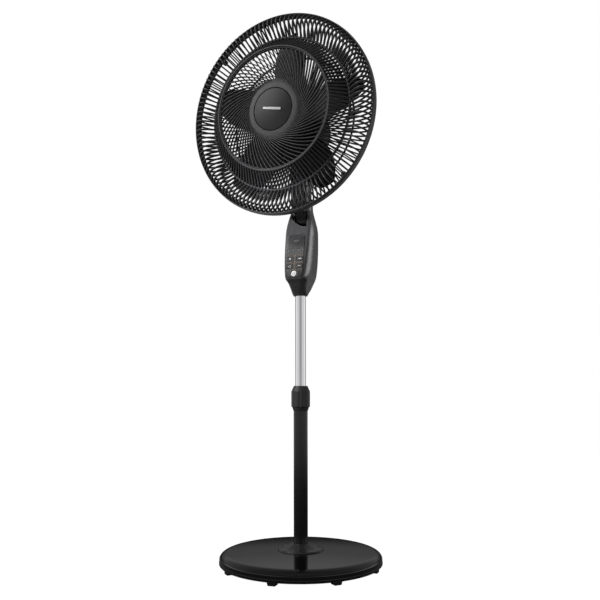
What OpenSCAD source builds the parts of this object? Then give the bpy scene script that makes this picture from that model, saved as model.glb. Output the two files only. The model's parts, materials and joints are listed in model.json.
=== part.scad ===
/* [Base] */
// Radius of the round base
base_r = 192; // [180:1:200]
// Height of the feet under the base
foot_h = 8; // [6:1:10]
// Number of feet
foot_n = 8; // [6:1:12]
// Radius of the circle that the feet stand on
foot_circle_r = 178; // [165:1:180]
// Angle by which the ring of feet is turned
foot_turn = 5; // [0:1:44]
// Height at which the rim turns into the top of the base
rim_top_z = 24; // [22:1:27]
// Height of the base's top beside the centre boss
dome_z = 41; // [38:1:44]
// Radius of the centre boss
boss_r = 54; // [48:1:60]
// Height of the boss where it meets the pole
boss_top_z = 56; // [52:1:60]

/* [Pole] */
// Outer radius of the lower pole
pole_r = 16.75; // [16:0.25:17.5]
// Outer radius of the chrome inner pole
mast_r = 12.5; // [12:0.25:13]
// Height of the lower edge of the height collar
collar_z = 367; // [350:1:380]
// Length of the height collar
collar_h = 59; // [55:1:62]
// Number of grip flutes on the collar
flute_n = 10; // [8:1:12]

/* [Control housing] */
// Height of the housing's lower edge
housing_z = 637.4; // [637.4:0.1:640]
// Thickness of moulded walls
wall = 2.2; // [1.8:0.1:2.4]
// Angle that the control panel leans back
panel_lean = 10.1; // [9:0.1:11]
// Width of the control panel at its top
panel_w = 43; // [40:1:45]
// Length of the control panel
panel_len = 104; // [98:1:104]

/* [Head] */
// Height of the fan's axis above the floor
head_z = 1029; // [1020:1:1040]
// Radius of the grille's rim
rim_r = 221.2; // [220:0.2:224]
// Ribs in the outer zone of the front grille and in the rear grille
rib_n = 120; // [96:12:120]
// Curved ribs in the centre zone of the front grille
spiral_n = 72; // [60:6:84]
// Thickness of a grille rib
rib_t = 2.8; // [1.5:0.1:3]
// Thickness of a curved rib
spiral_t = 1.8; // [1.5:0.1:2.4]
// Number of blades
blade_n = 5; // [3:1:5]
// Radius to the blade tips
blade_r = 190; // [180:1:192]

/* [Swing and tilt] */
// Teeth of the swing pinion
pinion_teeth = 16; // [16:1:16]
// Teeth of a full ring of the swing sector
sector_teeth = 52; // [52:1:52]
// Distance of the swing axis behind the pole's axis
swing_y = 6; // [5:0.5:7]
// Distance of the tilt bolt behind the pole's axis
tilt_y = 9; // [8:0.5:10]
// Height of the tilt bolt
tilt_z = 820; // [818:1:822]

/* [Hidden] */

charcoal = [0.09, 0.09, 0.1];
black = [0.04, 0.04, 0.045];
grey = [0.2, 0.2, 0.21];
steel = [0.6, 0.6, 0.62];
white = [0.85, 0.85, 0.84];
gap = 0.05;             // radial clearance of a running fit
cut = 1;                // how far a cutting solid runs past a face
disc_fn = 96;

/* ---- shared shapes ---- */

// Places a shape in the head's frame: local z runs forward along the fan's axis
module at_head() { translate([0, 0, head_z]) rotate([90, 0, 0]) children(); }

// Places a shape on the control panel: local z stands out of it, local y runs up it
panel_mid = [0, -28.2, 727.6];
module at_panel(x = 0, y = 0) {
  translate(panel_mid) rotate([90 - panel_lean, 0, 0]) translate([x, y, 0]) children();
}

// A tube standing on z = low
module tube(low, high, outer, inner) {
  translate([0, 0, low]) difference() {
    cylinder(r = outer, h = high - low, $fn = disc_fn);
    translate([0, 0, -cut]) cylinder(r = inner, h = high - low + 2*cut, $fn = disc_fn);
  }
}

// Copies a shape round the z axis
module around(n, start = 0) {
  for (k = [0:n - 1]) rotate([0, 0, start + k*360/n]) children();
}

// A pan-head screw with its head at z = 0 and its shank running up
module screw(shank_r, length, head_r, head_h) {
  translate([0, 0, -head_h]) cylinder(r = head_r, h = head_h, $fn = 24);
  cylinder(r = shank_r, h = length, $fn = 24);
}

// Ring of points of a rounded rectangle, t inside the section
// section = [z, half width, front y, rear y, corner radius, depth of the front corners]
corner_steps = 6;
function ring(s, t) = let(
    r = max(s[4] - t, 1), fy = len(s) > 5 ? max(s[5] - t, 1) : r,
    hw = s[1] - t, f = s[2] + t, b = s[3] - t,
    centres = [[hw - r, b - r], [r - hw, b - r], [r - hw, f + fy], [hw - r, f + fy]])
  [for (q = [0:3], k = [0:corner_steps])
    let(a = 90*q + 90*k/corner_steps, h = q < 2 ? r : fy)
    [centres[q][0] + r*cos(a), centres[q][1] + h*sin(a), s[0]]];

// Closed skin through a stack of rings, each with the same number of points
module skin(rings) {
  n = len(rings[0]);
  m = len(rings);
  polyhedron(
    points = [for (r = rings, p = r) p],
    faces = concat(
      [[for (i = [0:n - 1]) i]],
      [for (j = [0:m - 2], i = [0:n - 1])
        let(a = j*n + i, b = j*n + (i + 1)%n, t = [[a, a + n, b + n], [a, b + n, b]])
        each t],
      [[for (i = [n - 1:-1:0]) (m - 1)*n + i]]));
}

/* ---- base ---- */

// Height of the dome over the radius r
shoulder_r = base_r - 20;
shoulder_z = rim_top_z + 12;
function dome(r) = dome_z - (dome_z - shoulder_z)*pow(r/shoulder_r, 2);

module base_cover() {
  skin_t = 2.4;
  hole_r = 20;
  drop = [for (k = [0:5]) let(a = 90*k/5)
    [shoulder_r + 19*sin(a), rim_top_z - 2 + (shoulder_z - rim_top_z + 2)*cos(a)]];
  top = [for (k = [0:6]) let(r = hole_r + (shoulder_r - 4 - hole_r)*k/6) [r, dome(r)]];
  edge = [[base_r, rim_top_z - 8], [base_r, foot_h + 3], [base_r - 1, foot_h + 0.8],
    [base_r - 2.4, foot_h]];
  inner = [[base_r - skin_t, foot_h], [base_r - skin_t, rim_top_z - 8],
    [shoulder_r + 13, rim_top_z + 1], [shoulder_r, shoulder_z - skin_t - 0.5],
    [hole_r, dome_z - skin_t]];
  color(black) rotate_extrude($fn = disc_fn) polygon(concat(top, drop, edge, inner));
}

module base_weight() {
  color(grey) difference() {
    translate([0, 0, foot_h + 3]) cylinder(r = 125, h = 10, $fn = disc_fn);
    translate([0, 0, foot_h]) cylinder(r = 12, h = 20, $fn = 48);
    around(4, 45) translate([32, 0, 0]) cylinder(r = 3.3, h = 40, $fn = 24);
  }
}

module base_plate() {
  color(charcoal) difference() {
    translate([0, 0, foot_h]) cylinder(r = base_r - 2.7, h = 2.6, $fn = disc_fn);
    translate([0, 0, foot_h - cut]) cylinder(r = 12, h = 5, $fn = 48);
    around(4, 45) translate([32, 0, 0]) cylinder(r = 3.3, h = 40, $fn = 24);
  }
}

// Tapered pads, standing on the floor
module base_feet() {
  color(black) around(foot_n, foot_turn) translate([foot_circle_r - 9, 0, 0])
    rotate([90, 0, 90]) linear_extrude(18)
      polygon([[-8.5, 0], [8.5, 0], [11, foot_h], [-11, foot_h]]);
}

module base_boss() {
  rise = [for (k = [0:6]) let(t = k/6)
    [boss_r - 2 - (boss_r - 22)*t, dome_z + 2.5 + (boss_top_z - dome_z - 3.5)*pow(t, 1.7)]];
  color(black) rotate_extrude($fn = disc_fn) polygon(concat(
    [[boss_r, dome(boss_r) + 0.1], [boss_r - 0.5, dome_z + 1.6]], rise,
    [[20, boss_top_z], [17, boss_top_z], [17, boss_top_z - 5], [19.2, boss_top_z - 5],
      [19.2, dome_z + 0.1]]));
}

module pole_flange() {
  color(steel) difference() {
    union() {
      translate([0, 0, foot_h + 13]) cylinder(r = 45, h = 3, $fn = disc_fn);
      translate([0, 0, foot_h + 16]) cylinder(r = 18.8, h = 34 - foot_h, $fn = 64);
    }
    translate([0, 0, foot_h + 16]) cylinder(r = pole_r, h = 40, $fn = 64);
    translate([0, 0, foot_h]) cylinder(r = 10, h = 40, $fn = 48);
    around(4, 45) translate([32, 0, 0]) cylinder(r = 2.6, h = 40, $fn = 24);
  }
}

module flange_screws() {
  color(steel) around(4, 45) translate([32, 0, foot_h]) screw(2.6, 17, 5.5, 2.5);
}

/* ---- pole ---- */

pole_inner_r = pole_r - 1.3;
pole_top_z = collar_z + 33;
module outer_pole() { color(black) tube(foot_h + 16, pole_top_z, pole_r, pole_inner_r); }

// Plastic sleeve that guides the inner pole, pressed into the outer one
module pole_bush() {
  color(grey) union() {
    tube(pole_top_z - 70, pole_top_z, pole_inner_r, mast_r + gap);
    tube(pole_top_z, pole_top_z + 2, pole_r - 0.2, mast_r + gap);
  }
}

// Split clamp ring over the bush
module grip_collet() {
  low = pole_top_z + 2;
  color(grey) difference() {
    tube(low, low + 15, 15.2, mast_r + 0.08);
    translate([-1, 0, low - cut]) cube([2, 30, 20]);
  }
}

module height_collar() {
  top_z = collar_z + collar_h;
  color(charcoal) difference() {
    rotate_extrude($fn = disc_fn) polygon([[pole_r + 0.3, collar_z], [22.1, collar_z],
      [22.1, collar_z + 46], [20.6, collar_z + 49], [16.2, top_z], [mast_r + 0.5, top_z],
      [mast_r + 0.5, top_z - 6.5], [15.9, top_z - 6.5], [15.9, pole_top_z + 3],
      [pole_r + 0.3, pole_top_z + 3]]);
    around(flute_n) {
      translate([24.4, 0, collar_z + 7]) cylinder(r = 3.8, h = collar_h, $fn = 32);
      translate([24.4, 0, collar_z + 7]) sphere(r = 3.8, $fn = 32);
    }
  }
}

/* ---- mast ---- */

mast_low_z = 240;
mast_top_z = 688;
module inner_pole() { color([0.9, 0.9, 0.92]) tube(mast_low_z, mast_top_z, mast_r, mast_r - 1); }

// Ring that stops the inner pole from leaving the outer one
module pole_stop() {
  color(grey) tube(mast_low_z, mast_low_z + 18, pole_inner_r - gap, mast_r);
}

// Moulded socket that carries the housing on the mast
module pole_socket() {
  color(charcoal) union() {
    tube(housing_z + 1, 655, 13.9, mast_r);
    difference() {
      union() {
        translate([0, 0, 655]) cylinder(r = 16.5, h = 43, $fn = 64);
        translate([-24, -3, 673]) cube([48, 6, 24]);
      }
      translate([0, 0, 650]) cylinder(r = mast_r, h = mast_top_z - 650, $fn = 64);
      translate([0, 0, 650]) cylinder(r = 8, h = 60, $fn = 48);
    }
  }
}

/* ---- control housing ---- */

// Sections of the housing, from its round foot to its open top
housing = [
  [housing_z, 16.4, -16.4, 16.4, 16.3, 16.3],
  [643, 18.6, -18.6, 18.6, 16.5, 16.5],
  [655, 22, -26.3, 26.5, 15, 18],
  [666, 25, -32.4, 30.2, 12.5, 20],
  [675, 27.4, -37, 32.6, 10, 19],
  [686, 30.4, -35.4, 33.3, 11.5, 24],
  [699, 32.4, -33.3, 33.4, 12, 26],
  [720, 34, -29.5, 33, 11, 26],
  [756, 35.2, -23.1, 32, 10, 25],
  [784, 35.4, -18.1, 30.5, 9.5, 24],
  [799, 34, -15.4, 29, 9, 22],
  [813, 31.2, -12.8, 26.5, 9, 19],
  [826, 28, -9.5, 25, 9, 16],
  [838, 25.5, -6, 24, 9, 14],
  [856, 24.6, -3, 23, 8, 12]];
split_y = 21;
top_cap = [[856 + cut, 24.5, -2.9, 22.9, 8, 12]];
foot_cap = [[housing_z - cut, 16.2, -16.2, 16.2, 16.1, 16.1]];
mouth_hw = 22.3;        // half width of the opening between the two cheeks
mouth_z = 833;          // height at which the walls in front of and behind the neck end
scoop_r = 46;           // radius of the hollow in the front wall

module housing_shell() {
  difference() {
    skin([for (s = housing) ring(s, 0)]);
    skin([for (s = concat(foot_cap, housing, top_cap)) ring(s, wall)]);
  }
}

// Room for the neck between the cheeks, and the hollow scooped out of the front wall
module housing_mouth() {
  translate([-mouth_hw, -60, mouth_z]) cube([2*mouth_hw, 120, 60]);
  intersection() {
    translate([24, -4, 843]) rotate([90, 0, 0]) cylinder(r = scoop_r, h = 60, $fn = 96);
    translate([-60, -70, 780]) cube([60 + mouth_hw + 0.2, 70, 100]);
  }
}

// Front shell with its mouth, its two cheeks and a seat for each button
module housing_front() {
  color(charcoal) difference() {
    union() {
      housing_shell();
      intersection() {
        skin([for (s = housing) ring(s, wall/2)]);
        for (z = housing_screw_z) translate([-60, split_y - 1.7, z - 4]) cube([120, 1.6, 8]);
      }
    }
    for (z = housing_screw_z) translate([0, 50, z]) rotate([90, 0, 0])
      cylinder(r = 2.1, h = 40, $fn = 24);
    translate([-60, split_y, 600]) cube([120, 60, 300]);
    housing_mouth();
    at_panel(0, power_y) translate([0, 0, -10]) cylinder(r = 7.3, h = 20, $fn = 48);
    for (p = pad_places) at_panel(p[0], p[1]) translate([-8.7, -5.2, -10]) cube([17.4, 10.4, 20]);
    for (x = lamp_x) at_panel(x, lamp_y) translate([0, 0, -10]) cylinder(r = 2.2, h = 20, $fn = 24);
  }
}

module housing_rear() {
  color(charcoal) difference() {
    intersection() {
      housing_shell();
      translate([-60, split_y + 0.1, 600]) cube([120, 60, mouth_z - 600]);
    }
    for (z = housing_screw_z) translate([0, 50, z]) rotate([90, 0, 0])
      cylinder(r = 2.2, h = 40, $fn = 24);
    translate([0, 50, gland_z]) rotate([90, 0, 0]) cylinder(r = 5, h = 40, $fn = 32);
  }
}

housing_screw_z = [730, 788];
housing_screw_y = [33, 30.6];
gland_z = 677;
module housing_screws() {
  color(steel) for (k = [0, 1]) translate([0, housing_screw_y[k], housing_screw_z[k]])
    rotate([90, 0, 0]) screw(2.1, housing_screw_y[k] - split_y + 1.5, 3.8, 2);
}

// Round bush where the mains lead enters the housing
module cord_gland() {
  color(black) translate([0, 31.5, gland_z]) rotate([-90, 0, 0]) difference() {
    union() {
      translate([0, 0, -4]) cylinder(r = 4.95, h = 10, $fn = 32);
      translate([0, 0, 2.6]) cylinder(r = 7, h = 3, $fn = 32);
    }
    translate([0, 0, -10]) cylinder(r = 3.2, h = 30, $fn = 32);
  }
}

/* ---- control panel ---- */

power_y = -43;
pad_places = [[-12.2, -7.5], [12.2, -7.5], [-12.2, -25], [12.2, -25]];
lamp_x = [-17.7, -5.9, 5.9, 17.7];
lamp_y = 15;
panel_t = 1.1;
panel_lift = 0.25;      // glue line between shell and panel

// Thin printed overlay with openings for buttons and lamps
module control_panel() {
  r = 9;
  hw = panel_w/2;
  color(black) at_panel() translate([0, 0, panel_lift]) linear_extrude(panel_t) difference() {
    union() {
      translate([-hw, r - panel_len/2]) square([panel_w, panel_len - 2*r]);
      translate([r - hw, -panel_len/2]) square([panel_w - 2*r, panel_len]);
      for (x = [r - hw, hw - r], y = [r - panel_len/2, panel_len/2 - r])
        translate([x, y]) circle(r = r, $fn = 32);
    }
    translate([0, power_y]) circle(r = 7.3, $fn = 48);
    for (p = pad_places) translate([p[0] - 8.7, p[1] - 5.2]) square([17.4, 10.4]);
    for (x = lamp_x) translate([x, lamp_y]) circle(r = 2.2, $fn = 24);
  }
}

module panel_lamps() {
  color([0.75, 0.75, 0.7]) for (x = lamp_x) at_panel(x, lamp_y)
    translate([0, 0, -4]) cylinder(r = 2, h = 4.9, $fn = 24);
}

board_depth = 9;
module circuit_board() {
  color([0.1, 0.3, 0.15]) at_panel() translate([-17, -50, -board_depth]) cube([34, 84, 1.6]);
}

// Round key with a shallow crown
module power_button() {
  color(white) at_panel(0, power_y) rotate_extrude($fn = 48)
    polygon([[0, -5.8], [6.75, -5.8], [6.75, 1.7], [6.2, 2.1], [4, 2.4], [0, 2.5]]);
}

module pad(p) {
  color(charcoal) at_panel(p[0], p[1]) translate([-8.2, -4.7, -5.8]) cube([16.4, 9.4, 7.35]);
}
module speed_button() { pad(pad_places[0]); }
module mode_button() { pad(pad_places[1]); }
module timer_button() { pad(pad_places[2]); }
module swing_button() { pad(pad_places[3]); }

/* ---- tilt ---- */

tilt_r = 4;
module tilt_bracket() {
  color(steel) difference() {
    union() {
      for (x = [-22, 19]) translate([x, -1, 698.2]) cube([3, 20, tilt_z + 11 - 698.2]);
      translate([-22, -1, 698.2]) cube([44, 20, 3]);
    }
    translate([-30, tilt_y, tilt_z]) rotate([0, 90, 0]) cylinder(r = tilt_r, h = 60, $fn = 32);
    translate([0, 9, 690]) cylinder(r = 6, h = 20, $fn = 32);
  }
}

module tilt_bolt() {
  color(steel) translate([-24.2, tilt_y, tilt_z]) rotate([0, 90, 0]) union() {
    cylinder(r = tilt_r, h = 48.2, $fn = 48);
    cylinder(r = 6.5, h = 2.2, $fn = 6);
  }
}

module tilt_nut() {
  color(steel) translate([22, tilt_y, tilt_z]) rotate([0, 90, 0]) difference() {
    cylinder(r = 6.5, h = 2, $fn = 6);
    translate([0, 0, -cut]) cylinder(r = tilt_r, h = 5, $fn = 32);
  }
}

// Sections of the neck, from the tongue on the tilt bolt to the swing table
neck_sections = [
  [807, 14, 3, 15, 5],
  [812, 17, -1.5, 15.5, 6],
  [838, 17, -1.5, 15.5, 6],
  [846, 19.5, -6, 19, 8],
  [857, 21, -13, 23.5, 9],
  [900, 21.5, -16, 25, 9],
  [938, 22, -16, 27, 11],
  [949, 23.5, -17.5, 29.5, 23],
  [955, 24.5, -18.5, 30.5, 24.4]];

module neck() {
  color(charcoal) difference() {
    skin([for (s = neck_sections) ring(s, 0)]);
    translate([-30, tilt_y, tilt_z]) rotate([0, 90, 0])
      cylinder(r = tilt_r + gap, h = 60, $fn = 48);
    translate([0, swing_y, 922]) cylinder(r = 7.5, h = 40, $fn = 48);
    for (x = [-12, 12]) translate([x, swing_y, table_z - 12]) cylinder(r = 1.6, h = 20, $fn = 24);
  }
}

/* ---- swing ---- */

table_z = 955;
pin_r = 5;

module swing_bush() {
  color(white) translate([0, swing_y, 0]) tube(926, table_z + 4.5, 7.5, pin_r + gap);
}

// Involute flank of a gear of module 1: point at radius r of a flank through the pitch point
tooth_slack = 0.12;     // thickness taken off each flank
pressure = 20;
function inv(a) = tan(a)*180/PI - a;
function flank(r, pitch, teeth) = let(
    base = pitch*cos(pressure), a = acos(min(1, base/r)),
    half = 90/teeth - tooth_slack/pitch*180/PI)
  half + inv(pressure) - inv(a);
function tooth_radii(pitch, teeth) = let(
    low = max(pitch*cos(pressure) + 0.02, pitch - 1.2), high = pitch + 0.85)
  [for (k = [0:4]) low + (high - low)*k/4];
function tooth(pitch, teeth, mid) = let(rs = tooth_radii(pitch, teeth), root = pitch - 1.25,
    foot = flank(rs[0], pitch, teeth))
  concat([[root, mid - foot]], [for (r = rs) [r, mid - flank(r, pitch, teeth)]],
    [for (k = [4:-1:0]) [rs[k], mid + flank(rs[k], pitch, teeth)]], [[root, mid + foot]]);
function polar(p) = [p[0]*cos(p[1]), p[0]*sin(p[1])];

pinion_pitch = pinion_teeth/2;
sector_pitch = sector_teeth/2;
pinion_y = swing_y + pinion_pitch + sector_pitch;
sector_side = 8;        // whole teeth on each side of the middle one

module swing_sector() {
  color(white) translate([0, swing_y, table_z]) difference() {
    linear_extrude(5) union() {
      circle(r = 17, $fn = 64);
      polygon(concat([[0, 0]], [for (k = [-sector_side:sector_side],
        q = tooth(sector_pitch, sector_teeth, 90 + k*360/sector_teeth)) polar(q)]));
    }
    translate([0, 0, -cut]) cylinder(r = 7.5, h = 8, $fn = 48);
    for (x = [-12, 12]) translate([x, 0, -cut]) cylinder(r = 1.6, h = 8, $fn = 24);
  }
}

module sector_screws() {
  color(steel) for (x = [-12, 12]) translate([x, swing_y, table_z + 5]) rotate([180, 0, 0])
    screw(1.6, 15, 2.8, 1.4);
}

module swing_pinion() {
  color(white) translate([0, pinion_y, table_z]) union() {
    linear_extrude(6) polygon([for (k = [0:pinion_teeth - 1],
      q = tooth(pinion_pitch, pinion_teeth, 270 + (k + 0.5)*360/pinion_teeth)) polar(q)]);
    translate([0, 0, 6]) cylinder(r = 2.5, h = 8, $fn = 32);
  }
}

bracket_z = 964;
module swing_plan(grow) {
  translate([0, swing_y]) circle(r = 27 + grow, $fn = 96);
  translate([-17 - grow, swing_y]) square([34 + 2*grow, pinion_y - swing_y]);
  translate([0, pinion_y]) circle(r = 17 + grow, $fn = 96);
}

module swing_bracket() {
  color(steel) difference() {
    union() {
      translate([0, 0, bracket_z]) linear_extrude(4) swing_plan(0);
      translate([-11, -20, bracket_z + 4]) cube([22, 4, 20]);
    }
    translate([0, swing_y, bracket_z - cut]) cylinder(r = pin_r, h = 8, $fn = 48);
    translate([0, pinion_y, bracket_z - cut]) cylinder(r = 2.5 + gap, h = 8, $fn = 32);
  }
}

module swing_pin() {
  color(steel) translate([0, swing_y, 0]) union() {
    translate([0, 0, 924]) cylinder(r = pin_r, h = bracket_z + 4 - 924, $fn = 48);
    translate([0, 0, bracket_z + 4]) cylinder(r = 8, h = 3, $fn = 48);
  }
}

// Small geared motor that turns the pinion
module swing_motor() {
  color(steel) translate([0, pinion_y, bracket_z + 4]) difference() {
    cylinder(r = 15.5, h = 12.5, $fn = 64);
    translate([0, 0, -cut]) cylinder(r = 2.8, h = 8, $fn = 32);
  }
}

/* ---- motor ---- */

front_z = 26;           // front face of the motor, ahead of the pole's axis
bolt_circle = 47;
cover_screw_r = 34;
shaft_r = 4;

module motor_front_plate() {
  color(steel) at_head() difference() {
    union() {
      translate([0, 0, 20]) cylinder(r = 50, h = 6, $fn = disc_fn);
      translate([0, 0, front_z]) cylinder(r = 28, h = 18, $fn = 64);
    }
    translate([0, 0, 10]) cylinder(r = 11, h = 50, $fn = 48);
    around(4, 45) translate([bolt_circle, 0, 10]) cylinder(r = 2, h = 30, $fn = 24);
  }
}

module motor_rear_plate() {
  color(steel) at_head() difference() {
    union() {
      translate([0, 0, -34]) cylinder(r = 50, h = 4, $fn = disc_fn);
      translate([0, 0, -46]) cylinder(r = 14, h = 12, $fn = 48);
    }
    translate([0, 0, -60]) cylinder(r = 9, h = 50, $fn = 48);
    around(4, 45) translate([bolt_circle, 0, -40]) cylinder(r = 2, h = 30, $fn = 24);
    around(2, 90) translate([cover_screw_r, 0, -40]) cylinder(r = 2.1, h = 30, $fn = 24);
    translate([-20, -60, -50]) cube([40, 18, 30]);
  }
}

module motor_bolts() {
  color(steel) at_head() around(4, 45) translate([bolt_circle, 0, -34])
    screw(2, 59.5, 3.8, 2.5);
}

module stator() { color(grey) at_head() tube(-20, 10, 44, 22); }

module windings() {
  color([0.6, 0.3, 0.12]) at_head() for (z = [[-28, -20], [10, 18]]) tube(z[0], z[1], 39, 25);
}

module front_bearing() { color([0.7, 0.55, 0.25]) at_head() tube(30, 43, 11, shaft_r + gap); }

module rear_bearing() { color([0.7, 0.55, 0.25]) at_head() tube(-45, -31, 9, shaft_r + gap); }

module rotor() { color(steel) at_head() tube(-19, 9, 21.6, shaft_r); }

module shaft() {
  color(steel) at_head() translate([0, 0, -48]) cylinder(r = shaft_r, h = 148, $fn = 48);
}

cover_r = 58;
cover_t = 2.4;
cover_seat = -76.4;     // face that the heads of the cover screws rest on
function cover_line(t) = concat([[0, -78 + t]], [for (k = [0:6]) let(a = 90*k/6)
    [26 + (cover_r - t - 26)*sin(a), -40 - (38 - t)*cos(a)]], [[cover_r - t, 20], [0, 20]]);

// Outer shell of the motor, with a chin that covers the swing gear and slots at the back
module motor_cover() {
  chin_z = 951;
  color(charcoal) difference() {
    union() {
      at_head() rotate_extrude($fn = disc_fn) polygon(cover_line(0));
      translate([0, 0, chin_z]) linear_extrude(40) swing_plan(3.8);
    }
    at_head() translate([0, 0, 0.01]) rotate_extrude($fn = disc_fn) polygon(cover_line(cover_t));
    translate([0, 0, chin_z - cut]) linear_extrude(40) swing_plan(1.5);
    at_head() for (k = [-4:4]) translate([-18, k*8 - 1.5, -90]) cube([36, 3, 20]);
    at_head() around(2, 90) translate([cover_screw_r, 0, -90]) {
      cylinder(r = 2.2, h = 40, $fn = 24);
      cylinder(r = 4, h = 90 + cover_seat, $fn = 32);
    }
    at_head() translate([0, 0, 19.7]) cylinder(r = 50.5, h = 10, $fn = disc_fn);
  }
}

module cover_screws() {
  color(steel) at_head() around(2, 90) translate([cover_screw_r, 0, cover_seat])
    screw(2.1, 45.4, 3.6, 2.2);
}

/* ---- grille ---- */

function unit(a) = a/norm(a);
function heading(p, i) = unit(p[min(i + 1, len(p) - 1)] - p[max(i - 1, 0)]);
function shifted(p, d) = [for (i = [0:len(p) - 1])
  let(t = heading(p, i)) [p[i][0] + d*t[1], p[i][1] - d*t[0]]];
function backward(p) = [for (i = [len(p) - 1:-1:0]) p[i]];

// One flat rib that follows the line p = [radius, distance forward] and is depth deep behind it
module rib(p, depth) {
  rotate([90, 0, 0]) linear_extrude(rib_t, center = true)
    polygon(concat(p, backward(shifted(p, depth))));
}

ring_r = 133.6;         // ring between the centre zone and the outer zone
ring_f = 149.6;         // how far forward that ring lies
valley_r = 167;
valley_f = 111;
front_line = [[ring_r + 2, ring_f - 4.5], [valley_r - 3, valley_f + 3], [valley_r + 3, valley_f + 3],
  [180, 122.5], [194, 129.5], [206, 127], [213.2, 119], [218.6, 102]];
front_depth = 6;        // depth of a straight front rib
rear_depth = 5;         // depth of a rear rib
rear_rim_f = 90;        // rear face of the rear grille's rim
rear_line = [[60, 30], [105, 33], [155, 43], [188, 58], [205, 76], [215, 93.5]];

// Round lugs inside the rims, one for each screw
rim_in_r = 215.5;       // inner radius of both rims
lug_circle_r = 211;
lug_rise = 0.6;         // how far the rear lugs stand out behind their rim
module rim_lugs(low, high) {
  around(4, 45) translate([lug_circle_r, 0, low]) cylinder(r = 6, h = high - low, $fn = 32);
}

module front_grille() {
  color(charcoal) at_head() union() {
    around(rib_n) rib(front_line, front_depth);
    rotate_extrude($fn = disc_fn) translate([ring_r, ring_f - 3]) circle(r = 3, $fn = 24);
    rotate_extrude($fn = disc_fn) translate([valley_r, valley_f - 2]) circle(r = 3, $fn = 24);
    rotate_extrude($fn = disc_fn) polygon([[rim_in_r, 98], [rim_r, 98], [rim_r, 104],
      [rim_r - 1.2, 110], [rim_r - 3.5, 111.5], [rim_r - 4.5, 104.5], [rim_in_r, 104.5]]);
    rim_lugs(98, 103);
  }
}

// Disc of curved ribs inside the front grille
module grille_centre() {
  rim_in = ring_r - 2.7;
  hub_r = 63;
  steps = 6;
  inner = hub_r - 3;
  outer = rim_in - 0.8;
  function spot(k, side) = let(s = 1 - k/steps, r = outer*pow(inner/outer, s),
      a = -40*s - 10*pow(s, 4))
    [r*cos(a) - side*sin(a)*spiral_t/2, r*sin(a) + side*cos(a)*spiral_t/2];
  color(charcoal) at_head() union() {
    around(spiral_n) translate([0, 0, 141]) linear_extrude(5)
      polygon(concat([for (k = [0:steps]) spot(k, -1)], [for (k = [steps:-1:0]) spot(k, 1)]));
    rotate_extrude($fn = disc_fn) polygon([[rim_in - 1.6, 140.6], [rim_in, 140.6],
      [rim_in, 148], [rim_in - 1.6, 147]]);
    rotate_extrude($fn = disc_fn) polygon([[47, 138], [hub_r + 3, 138], [hub_r + 3, 141.4],
      [56, 142.6], [47.2, 143.2]]);
  }
}

module centre_cap() {
  face = [for (k = [0:5]) let(r = 45*k/5) [r, 147.5 - 4*pow(r/45, 2)]];
  color(grey) at_head() rotate_extrude($fn = disc_fn)
    polygon(concat(face, [[46.8, 142.4], [46.8, 136], [44.6, 136], [44.6, 140.6], [0, 143]]));
}

badge_turn = -10.4;     // turn that lowers the bar's right end
module cap_badge() {
  color(white) at_head() rotate([0, 0, badge_turn]) translate([-22, -2.6, 147.2])
    cube([44, 5.2, 1.2]);
}

module rear_grille() {
  color(charcoal) at_head() union() {
    around(rib_n) rib(rear_line, rear_depth);
    rotate_extrude($fn = disc_fn) polygon([[rim_in_r, rear_rim_f], [rim_r - 0.5, rear_rim_f],
      [rim_r - 0.5, 97.7], [rim_in_r, 97.7]]);
    rim_lugs(rear_rim_f - lug_rise, 97.7);
    rotate_extrude($fn = disc_fn) translate([150, 39.5]) circle(r = 2.4, $fn = 16);
    tube(26.2, 31, 62, 28.3);
  }
}

module grille_nut() {
  color(charcoal) at_head() difference() {
    translate([0, 0, 31.2]) cylinder(r = 36, h = 9, $fn = disc_fn);
    translate([0, 0, 30]) cylinder(r = 28, h = 20, $fn = 64);
    around(12) translate([38, 0, 30]) cylinder(r = 4, h = 20, $fn = 24);
  }
}

module rim_screws() {
  color(steel) at_head() around(4, 45) translate([lug_circle_r, 0, rear_rim_f - lug_rise])
    screw(1.8, 12, 3.6, 2);
}

/* ---- fan ---- */

// Cup that carries the blades, with a boss on the shaft
module blade_hub() {
  color(black) at_head() difference() {
    union() {
      rotate_extrude($fn = disc_fn) polygon([[0, 82], [0, 84.5], [38, 84.5], [43, 82.5],
        [45, 78], [45, 50], [42.4, 50], [42.4, 77], [38, 82]]);
      translate([0, 0, 54]) cylinder(r = 9, h = 29, $fn = 48);
    }
    translate([0, 0, 50]) cylinder(r = shaft_r, h = 50, $fn = 48);
  }
}

// Angle of a blade's leading and trailing edge at radius r, and its depth along the axis
tip_t = 1.6;
function span(r) = (r - 45)/(blade_r - 45);
function low_edge(r) = -24 + 33*pow(span(r), 0.85);
function high_edge(r) = 42 - 23*pow(span(r), 2);
function depth_at(r) = 34 - 18*span(r);
function middle_at(r) = 68 + 8*span(r);
bow = 3;                // hollow of the blade's front face at its middle
radial_steps = 9;
chord_steps = 6;
function blade_point(i, j, side) = let(
    r = 43.5 + (blade_r - 43.5)*i/radial_steps, u = j/chord_steps,
    a = low_edge(max(r, 45)) + (high_edge(max(r, 45)) - low_edge(max(r, 45)))*u,
    f = middle_at(r) - (u - 0.5)*depth_at(r) - 4*bow*u*(1 - u) + side*tip_t/2)
  [r*cos(a), r*sin(a), f];

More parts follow.
